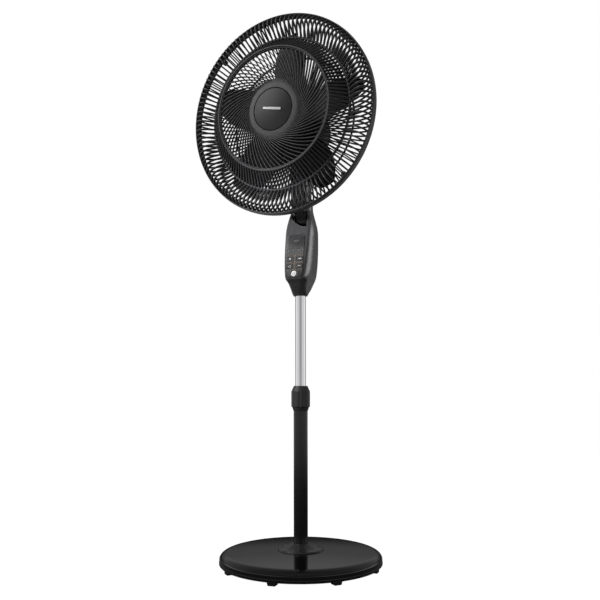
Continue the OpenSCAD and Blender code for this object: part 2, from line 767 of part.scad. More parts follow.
// Corners of one blade run rear face first, root to tip; every face is a flat triangle
module one_blade() {
  n = 2*(chord_steps + 1);
  function halves(a, b, c, d) = [[a, b, c], [a, c, d]];
  polyhedron(
    points = [for (i = [0:radial_steps], q = concat(
      [for (j = [0:chord_steps]) blade_point(i, j, -1)],
      [for (j = [chord_steps:-1:0]) blade_point(i, j, 1)])) q],
    faces = concat(
      [for (i = [0:radial_steps - 1], j = [0:n - 1]) let(k = (j + 1)%n)
        each halves(i*n + j, i*n + n + j, i*n + n + k, i*n + k)],
      [for (i = [0, radial_steps], j = [0:chord_steps - 1])
        let(a = i*n + j, b = i*n + j + 1, c = i*n + n - 2 - j, d = i*n + n - 1 - j)
        each i == 0 ? halves(a, b, c, d) : halves(d, c, b, a)]));
}

module fan_blades() {
  color(black) at_head() around(blade_n) one_blade();
}

// Nut that holds the fan on the shaft, threaded the other way to its turning
module blade_nut() {
  color(black) at_head() difference() {
    rotate_extrude($fn = 48) polygon([[0, 84.7], [16, 84.7], [16, 88], [13, 94], [11, 101],
      [8, 103.5], [0, 104]]);
    translate([0, 0, 80]) cylinder(r = shaft_r, h = 20.2, $fn = 48);
    around(6) translate([17, 0, 88]) cylinder(r = 3, h = 20, $fn = 24);
  }
}

base_cover();
base_weight();
base_plate();
base_feet();
base_boss();
pole_flange();
flange_screws();
outer_pole();
pole_bush();
grip_collet();
height_collar();
inner_pole();
pole_stop();
pole_socket();
housing_front();
housing_rear();
housing_screws();
control_panel();
panel_lamps();
circuit_board();
cord_gland();
tilt_bracket();
tilt_bolt();
tilt_nut();
power_button();
speed_button();
mode_button();
timer_button();
swing_button();
neck();
swing_bush();
swing_sector();
sector_screws();
swing_bracket();
swing_pin();
swing_motor();
swing_pinion();
motor_front_plate();
motor_rear_plate();
motor_bolts();
stator();
windings();
front_bearing();
rear_bearing();
motor_cover();
cover_screws();
rear_grille();
grille_nut();
rim_screws();
front_grille();
grille_centre();
centre_cap();
cap_badge();
rotor();
shaft();
blade_hub();
fan_blades();
blade_nut();
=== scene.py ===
import json
import math

import bmesh
import bpy
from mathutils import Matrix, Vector

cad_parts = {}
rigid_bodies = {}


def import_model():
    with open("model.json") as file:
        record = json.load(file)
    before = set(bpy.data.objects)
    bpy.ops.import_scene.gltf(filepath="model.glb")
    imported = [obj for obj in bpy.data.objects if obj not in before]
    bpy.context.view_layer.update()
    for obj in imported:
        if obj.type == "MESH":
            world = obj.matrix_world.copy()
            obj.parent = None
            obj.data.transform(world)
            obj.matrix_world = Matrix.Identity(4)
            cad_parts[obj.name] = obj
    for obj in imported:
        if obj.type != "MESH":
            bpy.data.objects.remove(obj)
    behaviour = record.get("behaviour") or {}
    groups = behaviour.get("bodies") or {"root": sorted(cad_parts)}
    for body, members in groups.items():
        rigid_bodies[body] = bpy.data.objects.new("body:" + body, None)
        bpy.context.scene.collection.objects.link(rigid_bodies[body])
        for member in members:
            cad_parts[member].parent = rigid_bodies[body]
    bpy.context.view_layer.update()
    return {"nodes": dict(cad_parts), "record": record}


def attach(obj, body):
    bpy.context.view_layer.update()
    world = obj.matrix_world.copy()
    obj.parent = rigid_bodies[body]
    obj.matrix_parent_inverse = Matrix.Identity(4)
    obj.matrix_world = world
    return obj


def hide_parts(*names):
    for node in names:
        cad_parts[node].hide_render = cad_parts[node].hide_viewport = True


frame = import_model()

MM = 0.001                 # the shapes below are in mm, the studio is in metres
HEAD_Z = 1029.0            # height of the fan's axis
LEAN = math.radians(10.1)  # lean of the control panel
PANEL_MID = (0.0, -28.2, 727.6)


# ---------------------------------------------------------------- mesh helpers

def at_head(p):
    """From (right, up, forward) about the fan's axis to the shared frame."""
    return (p[0], -p[2], HEAD_Z + p[1])


def at_panel(p):
    """From (right, up the panel, out of it) to the shared frame."""
    s, c = math.sin(LEAN), math.cos(LEAN)
    return (p[0], PANEL_MID[1] + s * p[1] - c * p[2], PANEL_MID[2] + c * p[1] + s * p[2])


class Shape:
    """Points in mm and the faces between them, gathered for one piece."""

    def __init__(self):
        self.points = []
        self.faces = []

    def add(self, points, faces, move=None):
        base = len(self.points)
        self.points += [move(p) for p in points] if move else list(points)
        self.faces += [tuple(i + base for i in f) for f in faces]
        return self


def fillet(corners, steps=5):
    """Outline with each corner (x, y, radius) rounded to its radius."""
    out = []
    n = len(corners)
    for k in range(n):
        x, y, r = corners[k]
        if r <= 0:
            out.append((x, y))
            continue
        p = Vector((x, y))
        a = Vector(corners[k - 1][:2]) - p
        b = Vector(corners[(k + 1) % n][:2]) - p
        half = a.angle(b) / 2
        cut = min(r / math.tan(half), a.length * 0.49, b.length * 0.49)
        r = cut * math.tan(half)
        centre = p + (a.normalized() + b.normalized()).normalized() * (r / math.sin(half))
        start = p + a.normalized() * cut - centre
        end = p + b.normalized() * cut - centre
        turn = start.angle_signed(end)
        for s in range(steps + 1):
            t = -turn * s / steps
            c, d = math.cos(t), math.sin(t)
            out.append((centre.x + start.x * c - start.y * d, centre.y + start.x * d + start.y * c))
    return out


def lathe(outline, segments=128):
    """Turns a closed outline of (radius, height) round the z axis."""
    points, faces, rings = [], [], []
    for r, z in outline:
        if r < 1e-6:
            rings.append([len(points)])
            points.append((0.0, 0.0, z))
        else:
            rings.append(list(range(len(points), len(points) + segments)))
            for i in range(segments):
                a = 2 * math.pi * i / segments
                points.append((r * math.cos(a), r * math.sin(a), z))
    for k in range(len(rings)):
        a, b = rings[k], rings[(k + 1) % len(rings)]
        for i in range(segments):
            j = (i + 1) % segments
            if len(a) > 1 and len(b) > 1:
                faces.append((a[i], a[j], b[j], b[i]))
            elif len(a) > 1:
                faces.append((a[i], a[j], b[0]))
            elif len(b) > 1:
                faces.append((a[0], b[j], b[i]))
    return points, faces


def stack(rings):
    """Closed skin through a stack of loops with equal counts, capped at both ends."""
    n, m = len(rings[0]), len(rings)
    points = [p for r in rings for p in r]
    faces = [tuple(range(n - 1, -1, -1)), tuple((m - 1) * n + i for i in range(n))]
    for j in range(m - 1):
        for i in range(n):
            k = (i + 1) % n
            faces.append((j * n + i, j * n + k, (j + 1) * n + k, (j + 1) * n + i))
    return points, faces


def rounded_rect(hw, hh, r, steps=6):
    """Loop of a rectangle with rounded corners, counterclockwise."""
    loop = []
    for q, (cx, cy) in enumerate(((hw - r, hh - r), (r - hw, hh - r), (r - hw, r - hh), (hw - r, r - hh))):
        for s in range(steps + 1):
            a = math.pi / 2 * (q + s / steps)
            loop.append((cx + r * math.cos(a), cy + r * math.sin(a)))
    return loop


def pad_block(hw, hh, r, profile, at=(0, 0)):
    """Rounded block: profile lists (inset, height) from its foot to its crown."""
    rings = []
    for inset, z in profile:
        loop = rounded_rect(hw - inset, hh - inset, max(r - inset, 0.2))
        rings.append([(at[0] + x, at[1] + y, z) for x, y in loop])
    return stack(rings)


def rail(path, half_t, depth, corner=0.7, steps=3):
    """Rib with a rounded section that follows path = [(radius, forward)] in a flat plane.

    half_t is half its thickness, and it is depth deep behind the path."""
    section = fillet([(-half_t, 0, corner), (half_t, 0, corner), (half_t, depth, corner),
                      (-half_t, depth, corner)], steps)
    rings = []
    for k, (r, f) in enumerate(path):
        a = Vector(path[max(k - 1, 0)])
        b = Vector(path[min(k + 1, len(path) - 1)])
        t = (b - a).normalized()
        rings.append([(r + t.y * d, w, f - t.x * d) for w, d in section])
    return stack(rings)


def turned(points, angle):
    c, s = math.cos(angle), math.sin(angle)
    return [(x * c - y * s, x * s + y * c, z) for x, y, z in points]


def torus(big, small, f, segments=180, steps=14):
    outline = [(big + small * math.cos(2 * math.pi * k / steps),
                f + small * math.sin(2 * math.pi * k / steps)) for k in range(steps)]
    return lathe(outline, segments)


def smooth_line(points, per=6):
    """Catmull-Rom curve through the points."""
    out = []
    n = len(points)
    for k in range(n - 1):
        p0, p1 = Vector(points[max(k - 1, 0)]), Vector(points[k])
        p2, p3 = Vector(points[k + 1]), Vector(points[min(k + 2, n - 1)])
        for s in range(per):
            t = s / per
            q = 0.5 * (2 * p1 + (p2 - p0) * t + (2 * p0 - 5 * p1 + 4 * p2 - p3) * t * t
                       + (3 * p1 - p0 - 3 * p2 + p3) * t ** 3)
            out.append(tuple(q))
    out.append(tuple(points[-1]))
    return out


def eased(table, z):
    """Monotone cubic through the rows of table = [(z, value, ...)], read at z."""
    zs = [row[0] for row in table]
    k = 0
    while k < len(zs) - 2 and z > zs[k + 1]:
        k += 1
    h = zs[k + 1] - zs[k]
    t = min(max((z - zs[k]) / h, 0.0), 1.0)
    out = []
    for c in range(1, len(table[0])):
        def slope(i):
            if i <= 0 or i >= len(zs) - 1:
                j = 0 if i <= 0 else len(zs) - 2
                return (table[j + 1][c] - table[j][c]) / (zs[j + 1] - zs[j])
            a = (table[i][c] - table[i - 1][c]) / (zs[i] - zs[i - 1])
            b = (table[i + 1][c] - table[i][c]) / (zs[i + 1] - zs[i])
            return 0.0 if a * b <= 0 else 2 * a * b / (a + b)
        p, q = table[k][c], table[k + 1][c]
        m, n = slope(k) * h, slope(k + 1) * h
        out.append((2 * t ** 3 - 3 * t * t + 1) * p + (t ** 3 - 2 * t * t + t) * m
                   + (3 * t * t - 2 * t ** 3) * q + (t ** 3 - t * t) * n)
    return out


def section_loop(s, t, z, steps=12, flats=5):
    """Loop of a rounded rectangle, t inside the section s.

    s = [half width, front y, rear y, corner radius, depth of the front corners]."""
    hw, f, b = s[0] - t, s[1] + t, s[2] - t
    r = min(max(s[3] - t, 1.0), hw - 0.05)
    deep = min(max(s[4] - t, 1.0), b - f - r - 0.05)
    centres = ((hw - r, b - r), (r - hw, b - r), (r - hw, f + deep), (hw - r, f + deep))
    arcs = []
    for q in range(4):
        high = r if q < 2 else deep
        turns = [math.pi / 2 * (q + k / steps) for k in range(steps + 1)]
        arcs.append([(centres[q][0] + r * math.cos(a), centres[q][1] + high * math.sin(a)) for a in turns])
    loop = []
    for q in range(4):
        loop += [(x, y, z) for x, y in arcs[q]]
        (x0, y0), (x1, y1) = arcs[q][-1], arcs[(q + 1) % 4][0]
        for k in range(1, flats):
            loop.append((x0 + (x1 - x0) * k / flats, y0 + (y1 - y0) * k / flats, z))
    return loop


def make_mesh(name, shape, sharp=30.0):
    mesh = bpy.data.meshes.new(name)
    mesh.from_pydata([[c * MM for c in p] for p in shape.points], [], shape.faces)
    bm = bmesh.new()
    bm.from_mesh(mesh)
    bmesh.ops.recalc_face_normals(bm, faces=bm.faces)
    bm.to_mesh(mesh)
    bm.free()
    shade(mesh, sharp)
    return mesh


def shade(mesh, sharp):
    mesh.shade_smooth()
    mesh.set_sharp_from_angle(angle=math.radians(sharp))


def put(name, mesh, body, slot, *nodes):
    """Places a mesh as a piece that rides on a body and stands for the CAD nodes, if any are named."""
    obj = bpy.data.objects.new(name, mesh)
    bpy.context.scene.collection.objects.link(obj)
    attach(obj, body)
    if nodes:
        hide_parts(*nodes)
    PIECES.append((obj, slot))
    return obj


def piece(name, shape, body, slot, *nodes, sharp=30.0):
    return put(name, make_mesh(name, shape, sharp), body, slot, *nodes)


def carved(name, shape, cutters, sharp=30.0):
    """The shape with each (operation, cutter shape) worked into it, as a mesh."""
    obj = bpy.data.objects.new(name, make_mesh(name + "_raw", shape, sharp))
    bpy.context.scene.collection.objects.link(obj)
    tools = []
    for k, (how, tool) in enumerate(cutters):
        other = bpy.data.objects.new(f"{name}_tool{k}", make_mesh(f"{name}_tool{k}", tool, sharp))
        bpy.context.scene.collection.objects.link(other)
        mod = obj.modifiers.new(f"work{k}", "BOOLEAN")
        mod.solver = "EXACT"
        mod.operation = how
        mod.object = other
        tools.append(other)
    bpy.context.view_layer.update()
    deps = bpy.context.evaluated_depsgraph_get()
    mesh = bpy.data.meshes.new_from_object(obj.evaluated_get(deps))
    mesh.name = name
    for o in tools + [obj]:
        old = o.data
        bpy.data.objects.remove(o)
        bpy.data.meshes.remove(old)
    shade(mesh, sharp)
    return mesh


def box(lo, hi):
    x0, y0, z0 = lo
    x1, y1, z1 = hi
    points = [(x0, y0, z0), (x1, y0, z0), (x1, y1, z0), (x0, y1, z0),
              (x0, y0, z1), (x1, y0, z1), (x1, y1, z1), (x0, y1, z1)]
    faces = [(3, 2, 1, 0), (4, 5, 6, 7), (0, 1, 5, 4), (1, 2, 6, 5), (2, 3, 7, 6), (3, 0, 4, 7)]
    return Shape().add(points, faces)


def rod(radius, low, high, move=None, segments=48):
    return Shape().add(*lathe([(0, low), (radius, low), (radius, high), (0, high)], segments), move)


PIECES = []


# ---------------------------------------------------------------- base and pole

DOME_TOP = 41.0
DOME_FALL = 5.0            # how much lower the dome is at its shoulder
DOME_R = 172.0             # radius at which the shoulder starts
BASE_R = 192.0


def dome(r):
    """Height of the top of the base at radius r."""
    return DOME_TOP - DOME_FALL * (r / DOME_R) ** 2


def base_cover():
    """Cover of the base: shallow dome, rounded shoulder, upright edge and hollow underside."""
    hole_r, crown_r, steps = 20.0, 168.0, 14
    radii = [hole_r + (crown_r - hole_r) * k / steps for k in range(steps + 1)]
    top = [(r, dome(r)) for r in radii]
    shoulder_w, shoulder_h, shoulder_z, turns = 19.4, 14, 22, 10
    drop = []
    for k in range(turns + 1):
        a = math.pi / 2 * k / turns
        drop.append((DOME_R + shoulder_w * math.sin(a), shoulder_z + shoulder_h * math.cos(a)))
    edge = fillet([(BASE_R, 19.5, 0.5), (BASE_R, 11, 2.2), (189.6, 8, 1.2)], 4)
    inner = [(189.6, 16), (185, 25), (DOME_R, 33.1), (hole_r, 38.6)]
    return Shape().add(*lathe(top + drop + edge + inner, 256))


def base_boss():
    """Flared boss round the foot of the pole."""
    foot_r, neck_r, foot_z, height, steps = 51.5, 20.5, 43.9, 11.1, 14
    rise = []
    for k in range(steps + 1):
        t = k / steps
        rise.append((foot_r - (foot_r - neck_r) * t, foot_z + height * t ** 1.7))
    lip = fillet([(19.6, 56, 0.6), (17, 56, 0.4), (17, 51, 0), (19.2, 51, 0)], 3)
    foot = [(19.2, 41.1), (54, dome(54) + 0.1), (53.9, 41.9), (53.2, 42.9)]
    return Shape().add(*lathe(rise + lip + foot, 160))


def base_feet():
    """Eight pads that widen upwards, under the edge of the base."""
    count, first, foot_r, half_w = 8, 5, 178, 9
    out = Shape()
    for k in range(count):
        angle = math.radians(first + 360 / count * k)
        rings = []
        for z, half, inset in ((0, 8.5, 1.0), (0.35, 8.8, 0.35), (1.0, 9.0, 0), (7.99, 10.9, 0)):
            loop = rounded_rect(half_w - inset, half - inset, 1.6, 4)
            rings.append([(foot_r + x, y, z) for x, y in loop])
        points, faces = stack(rings)
        out.add(turned(points, angle), faces)
    return out


def pole(outer, inner, low, high):
    """Tube whose wall has a loop near each end, so that its shading stays straight."""
    steps = 3
    ring = fillet([(outer, low, 0.2), (outer, high, 0.4), (inner, high, 0.2), (inner, low, 0.2)], steps)
    straight = [(outer, low + 2.0), (outer, high - 2.0)]
    return Shape().add(*lathe(ring[:steps + 1] + straight + ring[steps + 1:], 128))


def collar():
    """Fluted nut with a tapered top, as a grid of angle and height."""
    low, top = 367.0, 426.0
    nut_r, bore = 22.1, 17.05
    flute_r, flute_mid, flute_low, pitch = 3.8, 24.4, 374, 36
    outline = fillet([(nut_r, low, 0.8), (nut_r, 413, 2.5), (20.4, 416.2, 2.0), (16.2, top, 0.8),
                      (13.0, top, 0.3)], 4)
    dense = []
    for k in range(len(outline) - 1):
        (r0, z0), (r1, z1) = outline[k], outline[k + 1]
        n = max(1, int(math.hypot(r1 - r0, z1 - z0) / 1.2))
        dense += [(r0 + (r1 - r0) * s / n, z0 + (z1 - z0) * s / n) for s in range(n)]
    dense.append(outline[-1])
    inside = [(13.0, 419.5), (15.9, 419.5), (15.9, 403), (bore, 403), (bore, low)]
    segments = 360
    rings = []
    for r, z in dense + inside:
        loop = []
        for i in range(segments):
            a = 2 * math.pi * i / segments
            q = r
            if r > bore + 0.05:
                d = math.radians((math.degrees(a) + pitch / 2) % pitch - pitch / 2)
                below = max(flute_low - z, 0)
                rho = math.sqrt(max(flute_r ** 2 - below ** 2, 0))
                s = flute_mid * math.sin(d)
                if rho > abs(s):
                    q = min(r, flute_mid * math.cos(d) - math.sqrt(rho ** 2 - s * s))
            loop.append((q * math.cos(a), q * math.sin(a), z))
        rings.append(loop)
    points = [p for loop in rings for p in loop]
    faces = []
    for j in range(len(rings)):
        k = (j + 1) % len(rings)
        for i in range(segments):
            n = (i + 1) % segments
            faces.append((j * segments + i, j * segments + n, k * segments + n, k * segments + i))
    return Shape().add(points, faces)


# ---------------------------------------------------------------- control housing

# Sections: height, half width, front, rear, corner radius, depth of the front corners
HOUSING = [
    (637.4, 16.4, -16.4, 16.4, 16.3, 16.3), (643, 18.6, -18.6, 18.6, 16.5, 16.5),
    (655, 20.8, -24.8, 28.2, 15, 18), (666, 23.4, -30.4, 32, 12.5, 19), (675, 26.8, -36.8, 33, 10, 19),
    (686, 30.4, -35.4, 33.3, 11.5, 24),
    (699, 32.4, -33.3, 33.4, 12, 26), (720, 34, -29.5, 33, 11, 26), (756, 35.2, -23.1, 32, 10, 25),
    (784, 35.4, -18.1, 30.5, 9.5, 24), (799, 34, -15.4, 29, 9, 22), (813, 31.2, -12.8, 26.5, 9, 19),
    (826, 28, -9.5, 25, 9, 16), (838, 25.5, -6, 24, 9, 14), (856, 24.6, -3, 23, 8, 12)]
NECK = [
    (807, 14, 3, 15, 5, 5), (812, 17, -1.5, 15.5, 6, 6), (838, 17, -1.5, 15.5, 6, 6),
    (846, 19.5, -6, 19, 8, 8), (857, 21, -13, 23.5, 9, 9), (900, 21.5, -16, 25, 9, 9),
    (938, 22, -16, 27, 11, 11), (949, 23.5, -17.5, 29.5, 23, 23),
    (955, 24.5, -18.5, 30.5, 24.4, 24.4)]
MOUTH_HW = 22.3            # half width of the opening between the two cheeks
MOUTH_Z = 833.0
SCOOP_R = 46.0             # radius of the hollow in the front wall
SCOOP_AT = (24.0, 843.0)
WALL = 2.2
SPLIT_Y = 21.0             # where the front and the rear shell meet
SCREW_Z = (730.0, 788.0)
GLAND_R, GLAND_Z = 5, 677  # hole for the cord gland
TILT_Y, TILT_Z = 9, 820    # axis of the tilt bolt
SWING_Y = 6                # axis of the swing pin

# The panel's own frame: right, up, out
PANEL_HW, PANEL_HH, PANEL_ROUND = 21.5, 52.0, 9.0
POWER_Y = -43.0
POWER_HOLE = 7.3
PADS = ((-12.2, -7.5), (12.2, -7.5), (-12.2, -25.0), (12.2, -25.0))
LAMPS = (-17.7, -5.9, 5.9, 17.7)
LAMP_Y = 15.0


def loft(table, t, low, high, rows):
    """Loops t inside the sections of the table, from low to high."""
    rings = []
    for k in range(rows + 1):
        z = low + (high - low) * k / rows
        rings.append(section_loop(eased(table, z), t, z))
    return rings


def housing_shell():
    """Hollow shell of the housing, open at both ends."""
    low, high = HOUSING[0][0], HOUSING[-1][0]
    outer = loft(HOUSING, 0, low, high, 84)
    inner = loft(HOUSING, WALL, low, high, 42)
    n = len(outer[0])
    points = [p for r in outer + inner for p in r]
    a, b = len(outer), len(inner)
    faces = []
    for base, count in ((0, a), (a, b)):
        for j in range(base, base + count - 1):
            for i in range(n):
                k = (i + 1) % n
                faces.append((j * n + i, j * n + k, (j + 1) * n + k, (j + 1) * n + i))
    for j, m in ((0, a), (a - 1, a + b - 1)):
        for i in range(n):
            k = (i + 1) % n
            faces.append((j * n + i, j * n + k, m * n + k, m * n + i))
    return Shape().add(points, faces)


def y_rod(radius, x, z, y0, y1, segments=64):
    """Cylinder from y0 to y1 along the y axis."""
    return rod(radius, y0, y1, lambda p: (x + p[0], p[2], z - p[1]), segments)


def panel_block(hw, hh, r, at, low=-10, high=10):
    rings = [[(at[0] + x, at[1] + y, z) for x, y in rounded_rect(hw, hh, r, 3)] for z in (low, high)]
    points, faces = stack(rings)
    return Shape().add(points, faces, at_panel)


def panel_rod(radius, at, low=-10, high=10, segments=48):
    return rod(radius, low, high, lambda p: at_panel((at[0] + p[0], at[1] + p[1], p[2])), segments)


def panel_openings():
    """Cutters for the power key, the four icon keys and the lamps."""
    keys = [panel_block(8.7, 5.2, 1.0, p) for p in PADS]
    return [panel_rod(POWER_HOLE, (0, POWER_Y))] + keys + [panel_rod(2.2, (x, LAMP_Y)) for x in LAMPS]


def front_shell():
    """Front half of the housing, with the hollow, the mouth and the holes for the keys cut in."""
    scoop = y_rod(SCOOP_R, *SCOOP_AT, -70, -4, 160)
    edge = MOUTH_HW + 0.2
    scoop.points = [(min(x, edge), y, z) for x, y, z in scoop.points]
    mouth = box((-MOUTH_HW, -60, MOUTH_Z), (MOUTH_HW, 60, MOUTH_Z + 60))
    cut = [box((-60, SPLIT_Y, 600), (60, 80, 900)), scoop, mouth] + panel_openings()
    return carved("housing_front_shell", housing_shell(), [("DIFFERENCE", c) for c in cut], 28)


def rear_shell():
    """Rear half of the housing, with two screw holes and the hole for the cord gland."""
    cut = [box((-60, -80, 600), (60, SPLIT_Y + 0.25, 900)), box((-60, 0, MOUTH_Z), (60, 60, 900))]
    cut += [y_rod(2.3, 0, z, 20, 60, 32) for z in SCREW_Z]
    cut += [y_rod(GLAND_R, 0, GLAND_Z, 15, 60, 48)]
    return carved("housing_rear_shell", housing_shell(), [("DIFFERENCE", c) for c in cut], 28)


def panel_overlay():
    """Thin film with a softened edge, pierced for the keys and the lamps."""
    rings = []
    for inset, z in ((0, 0.25), (0, 1.05), (0.12, 1.25), (0.35, 1.35)):
        loop = rounded_rect(PANEL_HW - inset, PANEL_HH - inset, PANEL_ROUND - inset, 10)
        rings.append([(x, y, z) for x, y in loop])
    points, faces = stack(rings)
    slab = Shape().add(points, faces, at_panel)
    return carved("panel_overlay", slab, [("DIFFERENCE", c) for c in panel_openings()], 25)


def ribbon(points, width, z, thick=0.1, closed=False):
    """Flat printed stroke on the panel through the points."""
    out = Shape()
    n = len(points)
    left, right = [], []
    for k in range(n):
        a = Vector(points[(k - 1) % n] if closed else points[max(k - 1, 0)])
        b = Vector(points[(k + 1) % n] if closed else points[min(k + 1, n - 1)])
        t = (b - a).normalized()
        side = Vector((-t.y, t.x)) * width / 2
        p = Vector(points[k])
        left.append(p + side)
        right.append(p - side)
    verts = []
    for l, r in zip(left, right):
        verts += [(l.x, l.y, z), (r.x, r.y, z), (r.x, r.y, z + thick), (l.x, l.y, z + thick)]
    faces = []
    for k in range(n if closed else n - 1):
        a, b = 4 * k, 4 * ((k + 1) % n)
        for i in range(4):
            j = (i + 1) % 4
            faces.append((a + i, a + j, b + j, b + i))
    if not closed:
        faces += [(0, 1, 2, 3), (4 * n - 1, 4 * n - 2, 4 * n - 3, 4 * n - 4)]
    return out.add(verts, faces, at_panel)


def arc(cx, cy, r, a0, a1, n=20):
    """Points of an arc from a0 to a1 degrees."""
    return [(cx + r * math.cos(math.radians(a0 + (a1 - a0) * k / n)),
             cy + r * math.sin(math.radians(a0 + (a1 - a0) * k / n))) for k in range(n + 1)]


def plus(*shapes):
    """All the shapes as one."""
    out = Shape()
    for s in shapes:
        out.add(s.points, s.faces)
    return out


def icon_speed(x, y, z):
    """Three small blades round a dot."""
    parts = []
    for k in range(3):
        a = 90 + 120 * k
        mid = (x + 1.5 * math.cos(math.radians(a)), y + 1.5 * math.sin(math.radians(a)))
        parts.append(ribbon(arc(mid[0], mid[1], 0.75, a - 140, a + 140, 14), 0.5, z, 0.1, True))
    parts.append(ribbon(arc(x, y, 0.35, 0, 330, 11), 0.45, z, 0.1, True))
    return plus(*parts)


def icon_mode(x, y, z):
    """Two waves."""
    rows = []
    for d in (-0.8, 0.8):
        line = [(x - 2.4 + 4.8 * k / 20, y + d + 0.5 * math.sin(k / 20 * 4 * math.pi)) for k in range(21)]
        rows.append(ribbon(line, 0.5, z))
    return plus(*rows)


def icon_timer(x, y, z):
    """Clock face with two hands."""
    return plus(ribbon(arc(x, y, 2.1, 0, 348, 29), 0.5, z, 0.1, True),
                ribbon([(x, y + 1.3), (x, y)], 0.45, z), ribbon([(x, y), (x + 1.0, y)], 0.45, z))


def icon_swing(x, y, z):
    """Arc with a barb at each end."""
    return plus(ribbon(arc(x, y - 1.2, 2.6, 25, 155, 16), 0.5, z),
                ribbon([(x - 2.9, y + 0.9), (x - 2.4, y - 0.3), (x - 1.3, y + 0.1)], 0.45, z),
                ribbon([(x + 2.9, y + 0.9), (x + 2.4, y - 0.3), (x + 1.3, y + 0.1)], 0.45, z))


def build_panel():
    """Printed lines and marks, the keys with their icons, and the lamps."""
    z = 1.36
    grid_hw, line_w, ink = 19.5, 0.4, 0.06
    grid_y = (0.6, -16.2, -33.6)
    lines = [ribbon([(-grid_hw, y), (grid_hw, y)], line_w, z, ink) for y in grid_y]
    lines.append(ribbon([(0, grid_y[0]), (0, grid_y[-1])], line_w, z, ink))
    piece("panel_grid", plus(*lines), "mast", "panel_film")
    marks = [ribbon([(x - 1.7, 8.0), (x + 1.7, 8.0)], 0.8, z, ink) for x in LAMPS]
    marks.append(ribbon([(-6.5, 36.2), (6.5, 36.2)], 1.5, z, ink))
    piece("panel_marks", plus(*marks), "mast", "panel_film")
    names = ("speed", "mode", "timer", "swing")
    icons = (icon_speed, icon_mode, icon_timer, icon_swing)
    profile = ((0, -5.8), (0, 0.9), (0.1, 1.2), (0.3, 1.42), (0.7, 1.52), (1.2, 1.55))
    for name, icon, p in zip(names, icons, PADS):
        points, faces = pad_block(8.2, 4.7, 1.6, profile, p)
        piece(f"{name}_pad", Shape().add(points, faces, at_panel), f"{name}_key", "key_plastic",
              f"{name}_button")
        piece(f"{name}_icon", icon(p[0], p[1], 1.55), f"{name}_key", "key_plastic")
    ring = fillet([(0, -5.8, 0), (6.75, -5.8, 0.3), (6.75, 1.75, 0.5), (6.0, 2.15, 0.8),
                   (3.6, 2.44, 0), (0, 2.5, 0)], 4)
    key = Shape().add(*lathe(ring, 64), lambda q: at_panel((q[0], q[1] + POWER_Y, q[2])))
    piece("power_cap", key, "power_key", "power_key", "power_button")
    sign = plus(ribbon([(p[0], p[1] + POWER_Y) for p in arc(0, 0, 2.2, 125, 415, 30)], 0.55, 2.47, 0.1),
                ribbon([(0, POWER_Y + 2.9), (0, POWER_Y + 0.6)], 0.55, 2.47, 0.1))
    piece("power_sign", sign, "power_key", "power_key")
    lamps = Shape()
    for x in LAMPS:
        lens = fillet([(0, -4, 0), (2, -4, 0), (2, 0.7, 0.35), (0, 1.0, 0)], 4)
        lamps.add(*lathe(lens, 32), lambda q, x=x: at_panel((x + q[0], LAMP_Y + q[1], q[2])))
    piece("lamp_lenses", lamps, "mast", "lamp_window", "panel_lamps")


def neck_shell():
    """Neck, bored for the tilt bolt across it and for the swing pin and two screws on top."""
    rings = loft(NECK, 0, NECK[0][0], NECK[-1][0], 74)
    cut = [rod(4.05, -30, 30, lambda p: (p[2], TILT_Y + p[1], TILT_Z - p[0])),
           rod(7.5, 922, 960, lambda p: (p[0], SWING_Y + p[1], p[2]))]
    cut += [rod(1.6, 943, 960, lambda p, x=x: (x + p[0], SWING_Y + p[1], p[2]), 24) for x in (-12, 12)]
    return carved("neck_shell", Shape().add(*stack(rings)), [("DIFFERENCE", c) for c in cut], 28)


# ---------------------------------------------------------------- grilles

RIM_R = 221.2              # outer radius of the grille
RIM_IN, LUG_R = 215.5, 211.0
RIBS = 120
SPIRALS = 72
RIB_HALF = 1.4             # half of a straight rib's thickness
RIB_ROUND = 0.9            # radius of a straight rib's edges
RING_R, RING_F = 133.6, 149.6
VALLEY_R, VALLEY_F = 167.0, 111.0


def add_lugs(out, low, high):
    """One round lug inside the rim for each screw."""
    for k in range(4):
        points, faces = lathe(fillet([(0, low, 0), (6, low, 0.4), (6, high, 0.8), (0, high, 0)], 3), 32)
        moved = [(LUG_R + x, y, z) for x, y, z in points]
        out.add(turned(moved, math.pi / 4 + math.pi / 2 * k), faces, at_head)


def outer_grille():
    """Front grille: straight ribs that swell forward, two rings, the rim and its lugs."""
    out = Shape()
    swell = smooth_line([(170, 114), (180, 122.5), (194, 129.5), (206, 127), (213.2, 119), (218.6, 102)], 5)
    line = [(RING_R + 2, RING_F - 4.5), (149, 129.8), (164, 114.2), (167, 112.6)] + swell
    points, faces = rail(line, RIB_HALF, 6, RIB_ROUND)
    for k in range(RIBS):
        out.add(turned(points, 2 * math.pi * k / RIBS), faces, at_head)
    out.add(*torus(RING_R, 2.3, RING_F - 3), at_head)
    out.add(*torus(VALLEY_R, 3.0, VALLEY_F - 2), at_head)
    rim = fillet([(RIM_IN, 98, 0.8), (RIM_R, 98, 0.8), (RIM_R, 104, 3), (220, 110, 1.4),
                  (217.7, 111.5, 1.0), (216.7, 104.5, 0.5), (RIM_IN, 104.5, 0.8)], 4)
    out.add(*lathe(rim, 256), at_head)
    add_lugs(out, 98.0, 103.0)
    return out


def spiral_angle(r, inner, outer):
    """How far a curved rib has turned back at radius r."""
    s = math.log(outer / r) / math.log(outer / inner)
    return -math.radians(40 * s + 10 * s ** 4)


